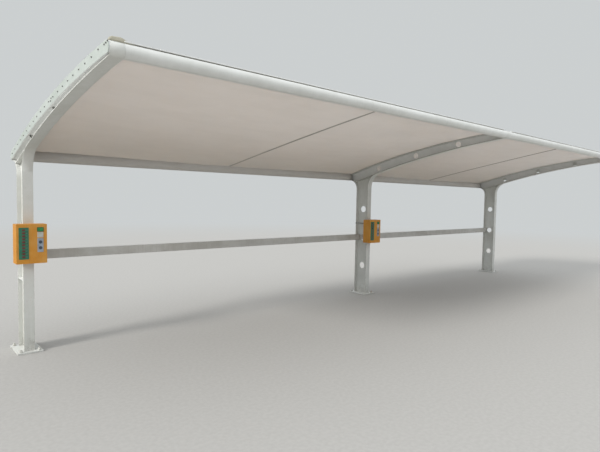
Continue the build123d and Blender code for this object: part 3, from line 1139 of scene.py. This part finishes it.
# %% [markdown]
# ## Screws in the edge clamps
# A row of dark hexagon-headed screws holds each end clamp, and from a distance they read
# as dots. Near the tip, where the cloth pulls hardest, three more sit close together, and
# there is a pair half way. Each has a dark rubber washer under its head.

# %% Screw down the edge clamps
edge_screw_count = 21
first_along, row_along = 0.0437, 0.936
first_lift = 0.22                 # of the clamp's height. Each next screw has half of it
more_screws = [(-0.0148, 0.0183), (-0.005, 0.0231), (0.0055, 0.0249),   # at the tip
               (0.438, 0.038), (0.446, 0.055)]                          # half way
washer = in_metres([(0.05, 0), (6.5, 0), (6.5, 1.2), (4.6, 1.8)])
hexagon = in_metres([(4.6, 1.8), (4.6, 5.6), (3.6, 6.2), (0.05, 6.2)])


def edge_screws(side):
    spots = [(first_along + row_along * i / (edge_screw_count - 1),
              clamp_height * (0.5 - first_lift * 0.5**i)) for i in range(edge_screw_count)]
    spots += more_screws
    face, out = clamp_faces(side)[1], Vector((bays[side][2], 0, 0))
    heads = Shape()
    for along, down in spots:
        place = Vector((face, *roof_line(0, along, -down)))
        heads.turned(place, out, washer, 14)
        heads.turned(place, out, hexagon, 6, along * 40)
    heads.made(f"edge_screws_{side}", "screw_steel", "strap_steel")
    print(f"{len(spots)} screws in the {side} edge clamp")


for side in bays:
    edge_screws(side)

# %% [markdown]
# ### Screws along the ridge
# Over the middle frame a flat bar holds the edges of both sheets, with a row of screws at
# each side. Its upper face follows the crown, so each screw stands on a line from the
# crown's centre.

# %% Screw down the ridge
ridge_top = 9 * millimetre        # two layers: the cloth and the ridge bar
ridge_row = 17 * millimetre       # of screws, from the middle of the bar
ridge_screw_count = 19            # in a row
ridge_margin = 0.03               # share left free at each end
heads = Shape()
for i in range(ridge_screw_count):
    share = i / (ridge_screw_count - 1)
    y, z = roof_line(0, ridge_margin + (1 - 2 * ridge_margin) * share)
    normal = Vector((0, y - crown.x, z - crown.y)).normalized()
    for x in (-ridge_row, ridge_row):
        heads.turned(Vector((post_x["middle"] + x, y, z)) + normal * ridge_top, normal,
                     small_head, 10)
heads.made("ridge_screws", "screw_steel", "strap_steel")
print(f"{2 * ridge_screw_count} screws in the ridge")

# %% [markdown]
# ## Anchor bolts
# Each foot is held by four studs that come up from below, with a washer, a nut and a short
# length of bare thread above it. The nut is a six-sided turning with chamfered corners, and
# the thread is a stack of narrow rings.

# %% Set four anchor nuts on each foot
bolt_across, bolt_along = 87.5 * millimetre, 155 * millimetre   # from the post's centre
foot_washer = in_metres([(0.5, 0), (18.5, 0), (18.5, 2.6), (17, 3.2), (0.5, 3.2)])
nut = in_metres([(0.5, 0), (15.5, 0), (17.3, 1.6), (17.3, 14.4), (15.5, 16), (0.5, 16)])
thread = in_metres([(0.5, 0), *(ring for turn in range(4) for ring in (
    (8.8, 16 + turn * 2.5), (9.9, 17.25 + turn * 2.5))), (8.5, 27), (0.5, 27.5)])

for side in sides:
    shape, up = Shape(), Vector((0, 0, 1))
    for i, (dx, dy) in enumerate(((-1, -1), (1, -1), (-1, 1), (1, 1))):
        place = Vector((post_x[side] + dx * bolt_across, dy * bolt_along, foot_top))
        seat = place + up * foot_washer[-1][1]
        shape.turned(place, up, foot_washer, 24)
        shape.turned(seat, up, nut, 6, i * 0.7)
        shape.turned(seat, up, thread, 16)
    shape.made(f"anchor_nuts_{side}", "anchor_steel", "strap_steel")
print("12 anchor nuts in place")

# %% [markdown]
# ## Weld beads
# The frames are plates welded into an I, and a bead runs along both sides of the web. Its
# path is the web's own outline. A three-cornered bead with a rippled skin follows it.

# %% Lay the beads
weld_leg = 5.5 * millimetre
weld_pitch = 12 * millimetre
hole_area = 0.02                  # square metres. Smaller outlines are holes, with no bead


def bead(shape, loop, x, outward):
    """Rippled fillet weld round a closed outline, on one side of the web."""
    if area_of(loop) < 0:
        loop = loop[::-1]
    points = []
    for a, b in pairs(loop):
        steps = max(1, ceil((b - a).length / (weld_pitch / 2)))
        way = (b - a).normalized()
        points += [(a.lerp(b, i / steps), Vector((-way.y, way.x))) for i in range(steps)]
    rings = []
    for i, (p, inward) in enumerate(points):
        inward = (inward + points[i - 1][1]).normalized()
        size = weld_leg * (1.06 if i % 2 else 0.94)
        corner = Vector((x, *p))
        side = Vector((outward * size, 0, 0))
        into = Vector((0, *inward)) * size
        rings.append([corner, corner + side, corner + (side + into) * 0.62, corner + into])
    shape.rings(rings, closed=True)


for side in sides:
    beads = Shape()
    for part in ("post_web", "arm_web"):
        for loop in rim_loops(f"{part}_{side}"):
            if abs(area_of(loop)) > hole_area:
                for outward in (-1, 1):
                    bead(beads, loop, post_x[side] + outward * half_web, outward)
    made = beads.made(f"weld_beads_{side}", "weld_paint", "frame_white")
    print(f"{made.name}: {len(made.data.polygons)} faces")

# %% [markdown]
# ## The cabinets' fittings
# Each yellow cabinet is a charging point. The green panel on the left has ten rows, each
# with a dark red window and a small mark. At the upper right sit a display, a pale plate
# and a blue-grey plate with two round pads. All of them are shallow parts with rounded
# corners, so one function draws a rounded plate of any size and thickness.

# %% Draw a rounded plate
def rounded_plate(shape, centre, width, height, thickness, corner, segments=4):
    """Plate with rounded corners and a chamfered front. Centre is on its back, facing -Y."""
    width, height, thickness, corner = (size * millimetre for size in (
        width, height, thickness, corner))

    def outline(inset, depth):
        ring = []
        for quarter, (sx, sz) in enumerate(((1, 1), (-1, 1), (-1, -1), (1, -1))):
            radius = max(corner - inset, 0.2 * millimetre)
            cx = centre.x + sx * (width / 2 - inset - radius)
            cz = centre.z + sz * (height / 2 - inset - radius)
            for i in range(segments + 1):
                turn = pi / 2 * (quarter + i / segments)
                ring.append(Vector((cx + radius * cos(turn), centre.y - depth,
                                    cz + radius * sin(turn))))
        return ring

    soft = min(thickness * 0.35, 1.2 * millimetre)
    shape.rings([outline(0, 0), outline(0, thickness - soft),
                 outline(soft * 0.4, thickness - soft * 0.3), outline(soft, thickness)])


print("Ready to draw plates")

# %% Fit plates, windows and pads
plates_middle = 62 * millimetre   # from the door's right edge
# finish, slot, and in millimetres: drop from the door's top, height, width, thickness, corner
door_plates = {"display_frame": ("socket_black", "panel_green", 31, 46, 62, 3, 4),
               "display": ("display_green", "panel_green", 34, 40, 56, 3.6, 3),
               "pale_plate": ("plate_pale", "clamp_white", 80, 56, 56, 2.2, 3),
               "blue_plate": ("plate_blue_grey", "strap_steel", 143, 142, 56, 3, 4)}
pad_shares = 0.28, 0.70           # of the blue plate's height
pad = in_metres([(0.5, 0), (16.5, 0), (16.5, 1.4), (13.5, 2.2), (12.5, 1.6), (0.5, 1.4)])
row_count = 10
panel_margin = 10 * millimetre
# finish, place from the panel's left edge, share of a row below its middle, and the plate's
# width, height, thickness and corner
row_plates = {"row_windows": ("window_red", 43, 0, 28, 18.5, 2.2, 2),
              "row_sockets": ("mark_grey", 71, 0, 17, 5, 1.8, 1),
              "row_ribs": ("panel_green", 45, 0.5, 78, 1.8, 1.2, 0.5)}

for side in ("left", "middle"):
    low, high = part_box(f"cabinet_door_{side}")
    x = high.x - plates_middle
    for name, (finish, slot, drop, height, *sizes) in door_plates.items():
        shape = Shape()
        centre = Vector((x, low.y, high.z - (drop + height / 2) * millimetre))
        rounded_plate(shape, centre, sizes[0], height, *sizes[1:])
        shape.made(f"{name}_{side}", finish, slot)
    pads = Shape()
    drop, height, _, thickness, _ = door_plates["blue_plate"][2:]
    for share in pad_shares:
        pads.turned(Vector((x, low.y - thickness * millimetre,
                            high.z - (drop + height * share) * millimetre)),
                    Vector((0, -1, 0)), pad, 28)
    pads.made(f"round_pads_{side}", "pad_slate", "panel_green")

    low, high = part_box(f"cabinet_socket_panel_{side}")
    pitch = (high.z - low.z - 2 * panel_margin) / row_count
    for name, (finish, right, below, *sizes) in row_plates.items():
        shape = Shape()
        for i in range(row_count):
            z = high.z - panel_margin - pitch * (i + 0.5 + below)
            rounded_plate(shape, Vector((low.x + right * millimetre, low.y, z)), *sizes)
        shape.made(f"{name}_{side}", finish, "panel_green")
print("Fitted two cabinets")

# %% [markdown]
# ## Floor, light and backdrop
# The shelter stands on a plain pale floor under an even sky, and the floor's bounce lights
# the cloth from below. The real cloth gets duller behind the posts, so there the floor
# gives back less light, though it looks the same. The sky is brighter overhead than at its
# edge, and duller at the back. The backdrop's colour is only for the camera and for
# reflections: a Light Path node keeps it from adding light.

# %% Lay the floor
backdrop_colour = (0.60, 0.625, 0.63)
floor_colour = (0.475, 0.462, 0.44)
mottled_colour = (0.445, 0.43, 0.41)
dull_colour = (0.16, 0.155, 0.135)
floor_reach = 60.0
floor_level = -0.5 * millimetre   # just under the feet


def floor_finish():
    net, shader = new_finish("floor_pale", Specular_IOR_Level=0.2)
    where = net.place()
    mottle = net.fade(net.noise(where, 30.0), 0.3, 0.7)
    colour = net.blend(mottle, floor_colour, mottled_colour)
    path = net.add("LightPath", {})
    unseen = net.less(1.0, path["Is Camera Ray"])
    behind = net.fade(net.split(where)["Y"], -1.3, 0.6)
    colour = net.blend(net.times(unseen, behind), colour, dull_colour)
    joined(net, shader, colour, 0.85, net.noise(where, 260.0), 0.001, 0.25)
    distance = net.add("VectorMath", {0: where}, operation="LENGTH")["Value"]
    glow = net.add("Emission", {"Color": backdrop_colour, "Strength": 1.0})[0]
    seen = net.maths("MAXIMUM", path["Is Camera Ray"], path["Is Glossy Ray"])
    mixed = net.add("MixShader", {0: net.times(net.fade(distance, 9.0, 26.0), seen),
                                  1: shader.outputs[0], 2: glow})[0]
    net.feed(mixed, net.tree.nodes["Material Output"].inputs["Surface"])


floor_finish()
disc = Shape()
disc.turned(Vector((0, 0, floor_level)), Vector((0, 0, 1)),
            [(floor_reach, -millimetre), (floor_reach, 0)], 96)
floor_mesh = bpy.data.meshes.new("floor")
floor_mesh.from_pydata([tuple(c) for c in disc.corners], [], disc.faces)
floor_mesh.materials.append(finishes["floor_pale"])
floor = bpy.data.objects.new("floor", floor_mesh)
bpy.context.scene.collection.objects.link(floor)
print(f"Floor {2 * floor_reach:.0f} m across")

# %% Light it softly
sky_colour = (0.93, 0.97, 1.0)
sky_overhead, sky_edge = 1.26, 0.46
sky_behind = 0.7                  # of the strength in front
sun_colour, sun_strength = (1.0, 0.985, 0.95), 2.3
sun_spread = 15                   # degrees, so that shadows stay soft
sun_from = Vector((-0.96, -0.12, 0.50))

world = bpy.data.worlds.new("even_sky")
world.use_nodes = True
bpy.context.scene.world = world
net = Net(world.node_tree)
light = world.node_tree.nodes["Background"]
net.feed(sky_colour, light.inputs["Color"])
facing = net.split(net.add("TexCoord", {})["Generated"])
height = net.fade(facing["Z"], -0.05, 0.75, sky_edge, sky_overhead)
front = net.fade(facing["Y"], -0.2, 0.8, 1.0, sky_behind)
net.feed(net.times(height, front), light.inputs["Strength"])
seen = net.add("Background", {"Color": backdrop_colour, "Strength": 1.0})[0]
path = net.add("LightPath", {})
shown = net.maths("MAXIMUM", path["Is Camera Ray"],
                  net.maths("MAXIMUM", path["Is Glossy Ray"], path["Is Transmission Ray"]))
mixed = net.add("MixShader", {0: shown, 1: light.outputs[0], 2: seen})[0]
net.feed(mixed, world.node_tree.nodes["World Output"].inputs["Surface"])

lamp = bpy.data.lights.new("soft_sun", "SUN")
lamp.energy = sun_strength
lamp.angle = radians(sun_spread)
lamp.color = sun_colour
sun = bpy.data.objects.new("soft_sun", lamp)
sun.rotation_mode = "QUATERNION"
sun.rotation_quaternion = sun_from.to_track_quat("Z", "Y")
bpy.context.scene.collection.objects.link(sun)
bpy.context.scene.view_settings.view_transform = "Standard"
print("One soft sun and an even sky")

# %% [markdown]
# ## The camera
# The picture was taken from in front of the left end, lower than the rim of the roof. The
# camera's place and turn were solved from the edges of the posts, pipes and rail, and it
# looks slightly down with a small tilt to one side.

# %% Stand where the picture was taken
eye = Vector((-6.5494, -5.7311, 1.6472))
heading, dip, tilt = radians(48.613), radians(-3.109), radians(1.058)
lens_length, sensor_width = 29.055, 36   # millimetres

forward = Vector((cos(heading) * cos(dip), sin(heading) * cos(dip), sin(dip)))
level = Vector((sin(heading), -cos(heading), 0))
upright = level.cross(forward)
right = level * cos(tilt) + upright * sin(tilt)
up = upright * cos(tilt) - level * sin(tilt)
camera = bpy.data.objects.new("camera", bpy.data.cameras.new("camera"))
camera.data.sensor_width = sensor_width
camera.data.lens = lens_length
camera.matrix_world = (Matrix.Translation(eye)
                       @ Matrix((right, up, -forward)).transposed().to_4x4())
bpy.context.scene.collection.objects.link(camera)
bpy.context.scene.camera = camera
print(f"Camera {eye.z:.2f} m above the floor")
